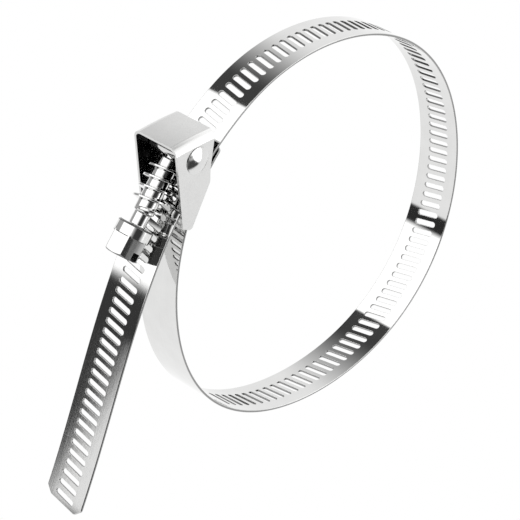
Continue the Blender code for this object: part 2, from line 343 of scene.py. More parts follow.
def hand_over(obj: bpy.types.Object, body: Body, node: str) -> bpy.types.Object:
    """Tells the frame what a finished piece rides on and stands for."""
    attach(obj, body.value)
    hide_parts(node)
    LOG.info("%s: %d faces, rides on %s", obj.name, len(obj.data.polygons), body.value)
    return obj


# ---------------------------------------------------------------------------------------------- finishes


class NodeTree:
    """A small helper that adds nodes and links to a node tree."""

    def __init__(self, tree: bpy.types.NodeTree) -> None:
        """Keeps the tree."""
        self.tree = tree

    def add(self, kind: str, inputs: dict | None = None, **settings: object) -> bpy.types.Node:
        """Adds a node.

        Args:
            kind: The node's type.
            inputs: Values, or output sockets to link, by the input's name or number.
            **settings: Attributes of the node.

        Returns:
            The node.
        """
        node = self.tree.nodes.new(kind)
        for name, value in settings.items():
            setattr(node, name, value)
        for key, value in (inputs or {}).items():
            if isinstance(value, bpy.types.NodeSocket):
                self.tree.links.new(value, node.inputs[key])
            else:
                node.inputs[key].default_value = value
        return node

    def math(self, operation: str, *values: object, clamp: bool = False) -> bpy.types.NodeSocket:
        """A Math node's output."""
        node = self.add("ShaderNodeMath", dict(enumerate(values)), operation=operation, use_clamp=clamp)
        return node.outputs[0]

    def vector(self, operation: str, *values: object) -> bpy.types.NodeSocket:
        """A Vector Math node's first output."""
        node = self.add("ShaderNodeVectorMath", dict(enumerate(values)), operation=operation)
        return node.outputs[0]

    def scaled(self, vector: object, by: object) -> bpy.types.NodeSocket:
        """A vector times a number."""
        node = self.add("ShaderNodeVectorMath", {0: vector, "Scale": by}, operation="SCALE")
        return node.outputs[0]

    def noise(self, place: bpy.types.NodeSocket, scale: float, detail: float = 3.0) -> bpy.types.NodeSocket:
        """A noise texture's value."""
        inputs = {"Vector": place, "Scale": scale, "Detail": detail, "Roughness": 0.55}
        return self.add("ShaderNodeTexNoise", inputs).outputs[0]

    def spread(self, value: bpy.types.NodeSocket, low: float, high: float) -> bpy.types.NodeSocket:
        """The middle of a noise's range stretched between two values."""
        inputs = {0: value, 1: 0.3, 2: 0.7, 3: low, 4: high}
        return self.add("ShaderNodeMapRange", inputs).outputs[0]


@dataclass(frozen=True)
class SteelFinish:
    """One stainless surface.

    Attributes:
        name: The material's name.
        colour: The steel's own tint.
        roughness: Lowest and highest roughness over the surface.
        grain: Which way the surface was worked.
        grain_depth: How deep the grain and handling marks are, in micrometres.
        tint: How far the colour wanders, as a share.
        dull_roughness: The roughness added where the steel is wholly dull.
    """

    name: str
    colour: tuple[float, float, float]
    roughness: tuple[float, float]
    grain: Grain
    grain_depth: float
    tint: float = 0.04
    dull_roughness: float = 0.3

    def place(self, nodes: NodeTree) -> bpy.types.NodeSocket:
        """Coordinates in millimetres: the strip's own, flat, or the object's."""
        if self.grain is Grain.ROLLED:
            source = nodes.add("ShaderNodeAttribute", attribute_name="strip_place").outputs["Vector"]
        else:
            source = nodes.add("ShaderNodeTexCoord").outputs["Object"]
        return nodes.scaled(source, 1.0 / MM)

    def grain_place(self, nodes: NodeTree, millimetres: bpy.types.NodeSocket) -> bpy.types.NodeSocket:
        """The coordinates squeezed so that a noise runs out into lines the way the surface was worked."""
        if self.grain is Grain.ROLLED:
            return nodes.vector("MULTIPLY", millimetres, (0.035, 5.0, 1.0))
        if self.grain is Grain.PRESSED:
            return millimetres
        inputs = {0: millimetres, 1: Vector(joint("screw_turn")["axis"])}
        along = nodes.add("ShaderNodeVectorMath", inputs, operation="DOT_PRODUCT").outputs["Value"]
        return nodes.add("ShaderNodeCombineXYZ", {0: nodes.math("MULTIPLY", along, 6.0)}).outputs[0]

    def material(self) -> bpy.types.Material:
        """Builds the material.

        Returns:
            A metallic material whose tint, roughness and fine relief follow the surface.
        """
        material = bpy.data.materials.new(self.name)
        material.use_nodes = True
        nodes = NodeTree(material.node_tree)
        shader = material.node_tree.nodes["Principled BSDF"]
        shader.inputs["Metallic"].default_value = 1.0
        shader.inputs["IOR"].default_value = 2.5

        millimetres = self.place(nodes)
        cloud = nodes.noise(millimetres, 0.22, 4.0)
        grain = nodes.noise(self.grain_place(nodes, millimetres), 1.6, 5.0)
        speck = nodes.noise(millimetres, 2.6, 2.0)

        marks = nodes.math("ADD", nodes.math("MULTIPLY", cloud, 0.6), nodes.math("MULTIPLY", grain, 0.4))
        light = nodes.spread(marks, 1.0 - self.tint, 1.0 + self.tint)
        # The stored darkening takes colour away: duller edges in part and painted shade in part, and wholly
        # painted shade inside slots and inside the stirrup.
        dull = nodes.add("ShaderNodeAttribute", attribute_name=DULLING_AND_SHADE).outputs["Fac"]
        light = nodes.math("MULTIPLY", light, nodes.math("SUBTRACT", 1.0, dull))
        colour = nodes.scaled(self.colour, light)
        material.node_tree.links.new(colour, shader.inputs["Base Color"])

        low, high = self.roughness
        mixed = nodes.math("ADD", nodes.math("MULTIPLY", grain, 0.55), nodes.math("MULTIPLY", speck, 0.45))
        added = nodes.math("MULTIPLY", dull, self.dull_roughness)
        rough = nodes.math("ADD", nodes.spread(mixed, low, high), added)
        material.node_tree.links.new(rough, shader.inputs["Roughness"])

        height = nodes.math("ADD", nodes.math("MULTIPLY", grain, 0.7), nodes.math("MULTIPLY", cloud, 1.6))
        depth = self.grain_depth * MICROMETRE
        bump = nodes.add("ShaderNodeBump", {"Strength": 1.0, "Distance": depth, "Height": height})
        material.node_tree.links.new(bump.outputs[0], shader.inputs["Normal"])
        return material


BAND_FINISH = SteelFinish("band_steel", (0.68, 0.68, 0.675), (0.02, 0.07), Grain.ROLLED, 1.0)
BRIDGE_FINISH = SteelFinish("bridge_steel", (0.64, 0.64, 0.635), (0.13, 0.22), Grain.PRESSED, 2.0, 0.04, 0.02)
TRUNNION_FINISH = SteelFinish("trunnion_steel", (0.66, 0.66, 0.655), (0.08, 0.16), Grain.PRESSED, 1.5)
SCREW_FINISH = SteelFinish("screw_steel", (0.69, 0.69, 0.685), (0.05, 0.12), Grain.TURNED, 0.8)
WASHER_FINISH = SteelFinish("washer_steel", (0.62, 0.62, 0.615), (0.18, 0.28), Grain.PRESSED, 2.0)


# ---------------------------------------------------------------------------------------------- the strip


@dataclass
class StripPath:
    """The strip's centre line: nearly a circle round the hose, then the tail in one sweep."""

    radius: float = 50.3
    waves: tuple[tuple[int, float, float], ...] = ((2, 0.31, 57.0), (3, 0.38, 98.3), (4, 0.48, -17.7))
    start_deg: float = -107.0
    dip_from_deg: float = -60.0
    dip: float = 0.8
    end_deg: float = 241.0
    tail_handles: tuple = (36.1, (42.4, -50.7), (77.8, -48.1))
    tail_end: float = 1.05
    tail_dip: tuple[float, float, float] = (0.4, -2.0, 6.0)
    loop_step_deg: float = 0.25
    tail_steps: int = 600

    def loop_point(self, degrees: float) -> np.ndarray:
        """A point of the loop at an angle round the hose."""
        angle = math.radians(degrees)
        radius = self.radius
        for order, amplitude, phase in self.waves:
            radius += amplitude * math.cos(order * (angle - math.radians(phase)))
        if degrees < self.dip_from_deg:
            share = (self.dip_from_deg - degrees) / (self.dip_from_deg - self.start_deg)
            radius -= self.dip * share * share
        return np.array([radius * math.cos(angle), radius * math.sin(angle)])

    def tail_points(self) -> np.ndarray:
        """The tail, leaving the loop along its tangent and giving way a little under the thread."""
        start = self.loop_point(self.end_deg)
        tangent = self.loop_point(self.end_deg + 0.01) - self.loop_point(self.end_deg - 0.01)
        tangent /= np.linalg.norm(tangent)
        handle, third, end = self.tail_handles
        t = np.linspace(0.0, self.tail_end, self.tail_steps)[:, None]
        s = 1.0 - t
        second = start + handle * tangent
        points = s**3 * start + 3 * s * s * t * second
        points = points + 3 * s * t * t * np.array(third) + t**3 * np.array(end)
        depth, middle, spread = self.tail_dip
        points[:, 1] += depth * np.exp(-(((points[:, 0] - middle) / spread) ** 2))
        return points

    def curve(self) -> bpy.types.Object:
        """The centre line as a curve object, in millimetres."""
        angles = np.arange(self.start_deg, self.end_deg, self.loop_step_deg)
        points = np.vstack([[self.loop_point(angle) for angle in angles], self.tail_points()])
        data = bpy.data.curves.new("strip_path", "CURVE")
        data.dimensions = "3D"
        spline = data.splines.new("POLY")
        spline.points.add(len(points) - 1)
        flat = np.column_stack([points, np.zeros(len(points)), np.ones(len(points))])
        spline.points.foreach_set("co", flat.ravel())
        obj = bpy.data.objects.new("strip_path", data)
        bpy.context.scene.collection.objects.link(obj)
        return obj


@dataclass
class Band:
    """The strip: blank tongue, slotted loop and slotted tail, in one piece."""

    path: StripPath = field(default_factory=StripPath)
    finish: SteelFinish = BAND_FINISH
    width: float = 12.7
    thickness: float = 0.6
    pitch: float = 2.62
    slots: int = 124
    first_slot_at: float = 88.0
    slot_length: float = 6.5
    slot_width: float = 1.4
    slot_tilt_deg: float = 10.0
    slot_end_steps: int = 9
    slot_side_steps: int = 3
    blank_cells: int = 32
    rim_radius: float = 0.16
    slot_radius: float = 0.08
    edge_steps: int = 3
    columns: int = 4
    tail_tip: tuple = ((-0.45, -0.5), (1.25, -0.35), (2.6, 0.35), (0.95, 0.5))
    tongue_tip: tuple = ((-1.72, 0.5), (-2.85, 0.36), (-2.85, -0.36), (-1.72, -0.5))
    tip_radius: float = 0.9

    def slot_outline(self) -> Points:
        """One slot's outline, clockwise: x along the strip, y across it."""
        reach = (self.slot_length - self.slot_width) / 2
        radius = self.slot_width / 2
        outline = []
        for end in (0, 1):
            for step in range(self.slot_end_steps + 1):
                angle = math.pi * (end + step / self.slot_end_steps)
                centre = reach if end == 0 else -reach
                outline.append((radius * math.cos(angle), radius * math.sin(angle) + centre))
            side = 1 if end == 1 else -1
            for step in range(1, self.slot_side_steps + 1):
                share = 1 - 2 * step / (self.slot_side_steps + 1)
                outline.append((side * radius, share * reach * (1 if end == 0 else -1)))
        turn = math.radians(-self.slot_tilt_deg)
        return [(x * math.cos(turn) - y * math.sin(turn), x * math.sin(turn) + y * math.cos(turn))
                for x, y in reversed(outline)]

    def edge_profile(self, radius: float) -> list[tuple[float, float, float]]:
        """A rounded edge's section: how far in, how high, and the angle from the outer face."""
        half = self.thickness / 2
        section = []
        for step in range(self.edge_steps + 1):
            angle = math.pi / 2 * step / self.edge_steps
            section.append((radius * (1 - math.sin(angle)), half - radius * (1 - math.cos(angle)), angle))
        return section + [(inset, -height, math.pi - angle) for inset, height, angle in reversed(section)]

    def edge_rows(self, bm: bmesh.types.BMesh, layer: object, line: Points, radius: float,
                  closed: bool) -> list:
        """Builds a rounded edge along a line that has the steel on its left.

        Args:
            bm: The mesh that is added to.
            layer: The vertex layer that takes each vertex's normal.
            line: The edge's line.
            radius: Its rounding.
            closed: Whether the line is a ring.

        Returns:
            The rows of vertices, from the outer face to the inner one.
        """
        points = [Vector(point) for point in line]
        count = len(points)
        outward = []
        for index in range(count):
            before = points[index] - points[index - 1] if closed or index > 0 else None
            after = points[(index + 1) % count] - points[index] if closed or index < count - 1 else None
            sides = [Vector((side.y, -side.x)).normalized() for side in (before, after) if side is not None]
            normal = sum(sides, Vector((0.0, 0.0))).normalized()
            outward.append((normal, 1.0 / max(0.5, normal.dot(sides[0]))))
        rows = []
        for inset, height, angle in self.edge_profile(radius):
            row = []
            for point, (normal, mitre) in zip(points, outward):
                spot = point - normal * inset * mitre
                vert = bm.verts.new((spot.x, spot.y, height))
                vert[layer] = Vector((*(normal * math.sin(angle)), math.cos(angle)))
                row.append(vert)
            rows.append(row)
        last = count if closed else count - 1
        for row, following in zip(rows, rows[1:]):
            for index in range(last):
                after = (index + 1) % count
                bm.faces.new((row[index], row[after], following[after], following[index]))
        return rows

    def cell(self, name: str, rims: list[Points], slotted: bool) -> bpy.types.Object:
        """One length of flat strip, open where the next length joins it.

        Args:
            name: The object's name.
            rims: The cut edges, each a line that has the steel on its left, in order round the cell.
            slotted: Whether a slot goes through the middle.

        Returns:
            The cell: x along the strip, y across it, z out of its outer face.
        """
        bm = bmesh.new()
        layer = bm.verts.layers.float_vector.new("flat_normal")
        edges = [self.edge_rows(bm, layer, rim, self.rim_radius, False) for rim in rims]
        holes = [self.edge_rows(bm, layer, self.slot_outline(), self.slot_radius, True)] if slotted else []
        for side in (0, -1):
            border = []
            for number, rows in enumerate(edges):
                row = rows[side]
                border += list(zip(row, row[1:]))
                border.append((row[-1], edges[(number + 1) % len(edges)][side][0]))
            for rows in holes:
                border += list(zip(rows[side], rows[side][1:] + rows[side][:1]))
            lines = [bm.edges.get(pair) or bm.edges.new(pair) for pair in border]
            bmesh.ops.triangle_fill(bm, use_beauty=True, edges=lines, normal=(0.0, 0.0, 1.0))
        return object_of(bm, name)

    def rim(self, start: float, end: float, side: int) -> Points:
        """A straight rim between two places along the strip; side is 1 for the upper edge."""
        return [(float(x), side * self.width / 2) for x in np.linspace(start, end, self.columns + 1)]

    def cells(self) -> dict[str, bpy.types.Object]:
        """The four lengths that the strip is made of."""
        half = self.pitch / 2
        both = [self.rim(half, -half, 1), self.rim(-half, half, -1)]
        tail = [(x, share * self.width) for x, share in self.tail_tip]
        tail = [(-half, -self.width / 2), *tail, (-half, self.width / 2)]
        tail = filleted(tail, self.tip_radius, closed=False)
        tongue = [(x, share * self.width) for x, share in self.tongue_tip]
        tongue = [(0.0, self.width / 2), *tongue, (0.0, -self.width / 2)]
        tongue = filleted(tongue, self.tip_radius, closed=False)
        return {
            "Slotted Cell": self.cell("slotted_cell", both, True),
            "Blank Cell": self.cell("blank_cell", both, False),
            "Tail Tip": self.cell("tail_tip", [tail], True),
            "Tongue Tip": self.cell("tongue_tip", [tongue], False),
        }

    def tree(self) -> bpy.types.GeometryNodeTree:
        """The node tree that lays the cells end to end and bends them along the path."""
        tree = bpy.data.node_groups.new("strip", "GeometryNodeTree")
        for name in ("Slotted Cell", "Blank Cell", "Tail Tip", "Tongue Tip", "Path"):
            tree.interface.new_socket(name, in_out="INPUT", socket_type="NodeSocketObject")
        for name in ("Pitch", "First Slot At"):
            tree.interface.new_socket(name, in_out="INPUT", socket_type="NodeSocketFloat")
        for name in ("Slotted Count", "Blank Count"):
            tree.interface.new_socket(name, in_out="INPUT", socket_type="NodeSocketInt")
        tree.interface.new_socket("Finish", in_out="INPUT", socket_type="NodeSocketMaterial")
        tree.interface.new_socket("Strip", in_out="OUTPUT", socket_type="NodeSocketGeometry")
        nodes = NodeTree(tree)
        given = nodes.add("NodeGroupInput").outputs

        def store(mesh: object, name: str, value: object, kind: str = "FLOAT_VECTOR") -> bpy.types.NodeSocket:
            """The mesh with a value kept at each point."""
            inputs = {"Geometry": mesh, "Name": name, "Value": value}
            settings = {"data_type": kind, "domain": "POINT"}
            return nodes.add("GeometryNodeStoreNamedAttribute", inputs, **settings).outputs[0]

        def run(cell: str, count: bpy.types.NodeSocket, start: bpy.types.NodeSocket) -> bpy.types.NodeSocket:
            """A row of cells, a pitch apart."""
            begin = nodes.add("ShaderNodeCombineXYZ", {0: start}).outputs[0]
            step = nodes.add("ShaderNodeCombineXYZ", {0: given["Pitch"]}).outputs[0]
            inputs = {"Count": count, "Start Location": begin, "Offset": step}
            line = nodes.add("GeometryNodeMeshLine", inputs, mode="OFFSET").outputs[0]
            shape = nodes.add("GeometryNodeObjectInfo", {"Object": given[cell]}).outputs["Geometry"]
            return nodes.add("GeometryNodeInstanceOnPoints", {"Points": line, "Instance": shape}).outputs[0]

        def single(cell: str, start: bpy.types.NodeSocket) -> bpy.types.NodeSocket:
            """One cell moved along the strip."""
            shift = nodes.add("ShaderNodeCombineXYZ", {0: start}).outputs[0]
            shape = nodes.add("GeometryNodeObjectInfo", {"Object": given[cell]}).outputs["Geometry"]
            return nodes.add("GeometryNodeTransform", {"Geometry": shape, "Translation": shift}).outputs[0]

        first, pitch = given["First Slot At"], given["Pitch"]
        blank_start = nodes.math("SUBTRACT", first, nodes.math("MULTIPLY", given["Blank Count"], pitch))
        tongue_at = nodes.math("SUBTRACT", blank_start, nodes.math("MULTIPLY", pitch, 0.5))
        tail_at = nodes.math("ADD", first, nodes.math("MULTIPLY", given["Slotted Count"], pitch))
        join = nodes.add("GeometryNodeJoinGeometry")
        for part in (run("Slotted Cell", given["Slotted Count"], first),
                     run("Blank Cell", given["Blank Count"], blank_start),
                     single("Tongue Tip", tongue_at), single("Tail Tip", tail_at)):
            tree.links.new(part, join.inputs[0])
        real = nodes.add("GeometryNodeRealizeInstances", {0: join.outputs[0]}).outputs[0]
        welded = nodes.add("GeometryNodeMergeByDistance", {"Geometry": real, "Distance": 1e-4}).outputs[0]

        flat = nodes.add("GeometryNodeInputPosition").outputs[0]
        kept = store(welded, "strip_place", nodes.scaled(flat, MM))
        split = nodes.add("ShaderNodeSeparateXYZ", {0: flat}).outputs
        path = nodes.add("GeometryNodeObjectInfo", {"Object": given["Path"]}).outputs["Geometry"]
        inputs = {"Curves": path, "Length": split[0]}
        sample = nodes.add("GeometryNodeSampleCurve", inputs, mode="LENGTH").outputs
        tangent = sample["Tangent"]
        out = nodes.vector("NORMALIZE", nodes.vector("CROSS_PRODUCT", tangent, (0.0, 0.0, 1.0)))

        def lifted(across: bpy.types.NodeSocket, outwards: bpy.types.NodeSocket) -> bpy.types.NodeSocket:
            """A vector with these parts across the strip and out of its face."""
            side = nodes.add("ShaderNodeCombineXYZ", {2: across}).outputs[0]
            return nodes.vector("ADD", side, nodes.scaled(out, outwards))

        inputs = {"Name": "flat_normal"}
        stored = nodes.add("GeometryNodeInputNamedAttribute", inputs, data_type="FLOAT_VECTOR").outputs[0]
        part = nodes.add("ShaderNodeSeparateXYZ", {0: stored}).outputs
        bent_normal = nodes.vector("ADD", nodes.scaled(tangent, part[0]), lifted(part[1], part[2]))
        shaded = store(kept, "bent_normal", bent_normal)
        # Rims and slot walls, which stand edgewise, are darkened: duller sheared steel, and painted shade,
        # most of all inside the slots.
        edgewise = nodes.math("SUBTRACT", 1.0, nodes.math("ABSOLUTE", part[2]))
        marked = store(shaded, DULLING_AND_SHADE, nodes.math("MULTIPLY", edgewise, SHEARED_DULLING_AND_SHADE), "FLOAT")
        placed = nodes.vector("ADD", sample["Position"], lifted(split[1], split[2]))
        bent = nodes.add("GeometryNodeSetPosition", {"Geometry": marked, "Position": placed}).outputs[0]
        last = nodes.add("GeometryNodeRealizeInstances", {0: bent}).outputs[0]
        inputs = {"Geometry": last, "Material": given["Finish"]}
        dressed = nodes.add("GeometryNodeSetMaterial", inputs).outputs[0]
        nodes.add("NodeGroupOutput", {0: dressed})
        return tree

    def build(self) -> bpy.types.Object:
        """Builds the whole strip.

        Returns:
            The finished strip, riding on the clamp's body.
        """
        values = {**self.cells(), "Path": self.path.curve(), "Pitch": self.pitch,
                  "First Slot At": self.first_slot_at, "Slotted Count": self.slots - 1,
                  "Blank Count": self.blank_cells, "Finish": self.finish.material()}
        band = bpy.data.objects.new("steel_band", bpy.data.meshes.new("steel_band"))
        bpy.context.scene.collection.objects.link(band)
        modifier = band.modifiers.new("strip", "NODES")
        modifier.node_group = self.tree()
        for item in modifier.node_group.interface.items_tree:
            if item.in_out == "INPUT":
                modifier[item.identifier] = values[item.name]
        settle(band)
        for value in values.values():
            if isinstance(value, bpy.types.Object):
                bpy.data.objects.remove(value, do_unlink=True)
        self.true_normals(band)
        finish_piece(band, Matrix.Identity(4), values["Finish"])
        return hand_over(band, Body.CLAMP, "band")

    def true_normals(self, band: bpy.types.Object) -> None:
        """Faces outwards, and each vertex shaded by the bent sheet's own normal."""
        mesh = band.data
        bm = bmesh.new()
        bm.from_mesh(mesh)
        bmesh.ops.recalc_face_normals(bm, faces=bm.faces)
        open_edges = sum(1 for edge in bm.edges if not edge.is_manifold)
        bm.to_mesh(mesh)
        bm.free()
        LOG.info("strip: %d open edges", open_edges)
        mesh.shade_smooth()
        normals = np.zeros(len(mesh.vertices) * 3, np.float32)
        mesh.attributes["bent_normal"].data.foreach_get("vector", normals)
        mesh.normals_split_custom_set_from_vertices(normals.reshape(-1, 3).tolist())
        for name in ("bent_normal", "flat_normal"):
            mesh.attributes.remove(mesh.attributes[name])


# ---------------------------------------------------------------------------------------------- the bridge


@dataclass
class Bridge:
    """The folded stirrup: top plate, two cheeks, and feet turned in under the strip."""

    finish: SteelFinish = BRIDGE_FINISH
    sheet: float = 0.65
    half_width: float = 7.2
    outline: tuple = ((-11.6, -63.9), (6.3, -51.7), (6.2, -49.3), (5.2, -48.1), (-5.0, -48.1), (-9.2, -50.3),
                      (-18.1, -53.5))
    crown: float = 0.2
    crown_steps: int = 8
    fold_radius: float = 2.2
    foot_radius: float = 0.85
    foot_gap: float = 4.4
    gap_reach: float = 8.0
    gap_below: float = 0.45
    gap_above: float = 1.75
    floor_top: float = -48.75
    bore_radius: float = 2.0
    edge: float = 0.12
    fold_steps: int = 12
    # Painted shade: how far the stirrup's inside faces are darkened.
    inside_painted_shade: float = 0.96

    def crowned(self) -> Points:
        """The top plate's line from back to front, bowed outwards a little."""
        back, front = Vector(self.outline[-1]), Vector(self.outline[0])
        along = front - back
        outwards = Vector((along.y, -along.x)).normalized()
        shares = [step / self.crown_steps for step in range(self.crown_steps + 1)]
        bow = outwards * self.crown * 4
        return [tuple(back + along * share + bow * share * (1 - share)) for share in shares]

    def rounded_fold(self, bm: bmesh.types.BMesh, line: Points, radius: float) -> None:
        """Rounds a prism's edges that run along a line of outline points, on both sides of it."""
        chosen = []
        for edge in bm.edges:
            if abs(edge.verts[0].co.z - edge.verts[1].co.z) > 1e-6:
                continue
            ends = [vert.co.xy for vert in edge.verts]
            if all(min((p - Vector(q)).length for q in line) < 1e-4 for p in ends):
                chosen.append(edge)
        bmesh.ops.bevel(bm, geom=chosen, offset=radius, segments=self.fold_steps, profile=0.5,
                        affect="EDGES", clamp_overlap=False)

    def dulling_and_shade(self, middle: Vector, normal: Vector) -> float:
        """Painted shade: the stirrup's inside faces are darkened almost to black."""
        front, back = Vector(self.outline[0]), Vector(self.outline[-1])
        along = (front - back).normalized()
        depth = abs((middle.xy - back).dot(Vector((along.y, -along.x))))
        within = abs(middle.z) < self.half_width - 0.9 * self.sheet and depth > 0.9 * self.sheet
        return self.inside_painted_shade if within and abs(normal.xy.dot(along)) < 0.4 else 0.0

    def build(self) -> bpy.types.Object:
        """Builds the stirrup.

        Returns:
            The finished stirrup, riding on the clamp's body.
        """
        outline, plate = self.outline, self.crowned()
        outer = prism([*outline[:-1], *plate[:-1]], -self.half_width, self.half_width)
        self.rounded_fold(outer, plate, self.fold_radius)
        self.rounded_fold(outer, [outline[3], outline[4]], self.foot_radius)
        bridge = object_of(outer, "folded_bridge")

        front, back = Vector(outline[0]), Vector(outline[-1])
        along = (front - back).normalized()
        inward = Vector((-along.y, along.x)) * self.sheet
        hollow_outline = (tuple(front + inward + along * 6.0), (18.0, -60.0), (18.0, self.floor_top),
                          (-26.0, self.floor_top), tuple(back + inward - along * 3.0))
        depth = self.half_width - self.sheet
        hollow = prism(hollow_outline, -depth, depth)
        self.rounded_fold(hollow, [hollow_outline[-1], hollow_outline[0]], self.fold_radius - self.sheet)
        self.rounded_fold(hollow, [hollow_outline[2], hollow_outline[3]], 0.25)
        carve(bridge, object_of(hollow, "hollow"), Carve.CUT)

        low, high = self.floor_top - self.gap_below, self.floor_top + self.gap_above
        reach = self.gap_reach
        gap = ((-reach, low), (reach, low), (reach, high), (-reach, high))
        carve(bridge, object_of(prism(gap, -self.foot_gap / 2, self.foot_gap / 2), "gap"), Carve.CUT)
        bore = turned([(0.0, 9.0), (self.bore_radius, 9.0), (self.bore_radius, -9.0), (0.0, -9.0)], 72)
        pivot = screw_to_loop().translation
        bmesh.ops.translate(bore, verts=bore.verts, vec=(pivot.x, pivot.y, 0.0))
        carve(bridge, object_of(bore, "bore"), Carve.CUT)
        clean(bridge)
        ease_edges(bridge, self.edge)
        # Painted shade on the stirrup's inside faces.
        mark_dulling_and_shade(bridge, self.dulling_and_shade)
        finish_piece(bridge, Matrix.Identity(4), self.finish.material())
        return hand_over(bridge, Body.CLAMP, "bridge")


# ---------------------------------------------------------------------------------------------- the swivel


@dataclass
class Trunnion:
    """The turned cross bar, headed over outside each cheek."""

    finish: SteelFinish = TRUNNION_FINISH
    radius: float = 2.6
    half_length: float = 6.43
    spigot_radius: float = 1.9
    head_radius: float = 3.3
    head_height: float = 0.95
    seat_height: float = 7.28
    dome_rim: float = 0.12
    dome_power: float = 1.7
    dome_steps: int = 14
    spotface_radius: float = 2.75
    spotface_at: float = 2.3
    bore_radius: float = 1.6
    edge: float = 0.1
    steps: int = 96

    def build(self) -> bpy.types.Object:
        """Builds the bar.

        Returns:
            The finished bar, riding on the swivel's body.
        """
        dome = []
        for step in range(self.dome_steps + 1):
            share = step / self.dome_steps
            height = self.dome_rim + (self.head_height - self.dome_rim) * (1 - share**self.dome_power)
            dome.append((self.head_radius * share, self.seat_height + height))
        upper = dome + [(self.head_radius, self.seat_height), (self.spigot_radius, self.seat_height),
                        (self.spigot_radius, self.half_length), (self.radius - 0.2, self.half_length),
                        (self.radius, self.half_length - 0.2)]
        lower = [(radius, -height) for radius, height in reversed(upper)]
        bar = object_of(turned(upper + lower, self.steps), "trunnion_bar")
        pivot = Matrix.Translation(screw_to_loop().translation)
        bar.data.transform(pivot)
        cross = turned([(0.0, 8.0), (self.spotface_radius, 8.0), (self.spotface_radius, self.spotface_at),
                        (self.bore_radius, self.spotface_at), (self.bore_radius, -self.spotface_at),
                        (self.spotface_radius, -self.spotface_at), (self.spotface_radius, -8.0),
                        (0.0, -8.0)], 72)
        bmesh.ops.transform(cross, matrix=screw_to_loop(), verts=cross.verts)
        carve(bar, object_of(cross, "cross_bore"), Carve.CUT)
        clean(bar)
        ease_edges(bar, self.edge, 32.0)
        finish_piece(bar, Matrix.Identity(4), self.finish.material())
        return hand_over(bar, Body.SWIVEL, "trunnion")


# ---------------------------------------------------------------------------------------------- the screw


@dataclass
class Thread:
    """The worm's thread: one ridge wound round the core and run out at both ends."""

    pitch: float = 2.62
    crest_radius: float = 4.2
    core_radius: float = 2.5
    phase_at: float = 1.37
    start: float = 3.3
    end: float = 15.9
    crest_half: float = 0.25
    foot_half: float = 0.56
    ramp_turns: float = 0.45
    steps: int = 72

    def section(self) -> Points:
        """The ridge's section: distance out from the sunk root, and place along the axis."""
        depth = self.crest_radius - self.core_radius + 0.3
        corners = [(0.0, -self.foot_half - 0.12), (0.42, -self.foot_half), (depth, -self.crest_half),
                   (depth, self.crest_half), (0.42, self.foot_half), (0.0, self.foot_half + 0.12)]
        return filleted(corners, 0.16, closed=False, steps=4)

    def ridge(self) -> bpy.types.Object:
        """The ridge as a closed mesh in the screw's frame."""
        turns = (self.end - self.start) / self.pitch
        first = math.tau * (self.start - self.phase_at) / self.pitch
        count = int(turns * self.steps)
        section = self.section()
        root = self.core_radius - 0.3
        bm = bmesh.new()
        rings = []
        for step in range(count + 1):
            turned_by = turns * step / count
            share = min(1.0, turned_by / self.ramp_turns, (turns - turned_by) / self.ramp_turns)
            rise = 0.06 + 0.94 * math.sin(share * math.pi / 2)
            angle = first + math.tau * turned_by
            height = self.start + self.pitch * turned_by
            ring = [(root + out * rise, height + along) for out, along in section]
            rings.append([bm.verts.new((r * math.cos(angle), r * math.sin(angle), z)) for r, z in ring])
        for ring, following in zip(rings, rings[1:]):
            for index in range(len(section)):
                after = (index + 1) % len(section)
                bm.faces.new((ring[index], ring[after], following[after], following[index]))
        bm.faces.new(rings[0])
        bm.faces.new(list(reversed(rings[-1])))
        return object_of(bm, "ridge")


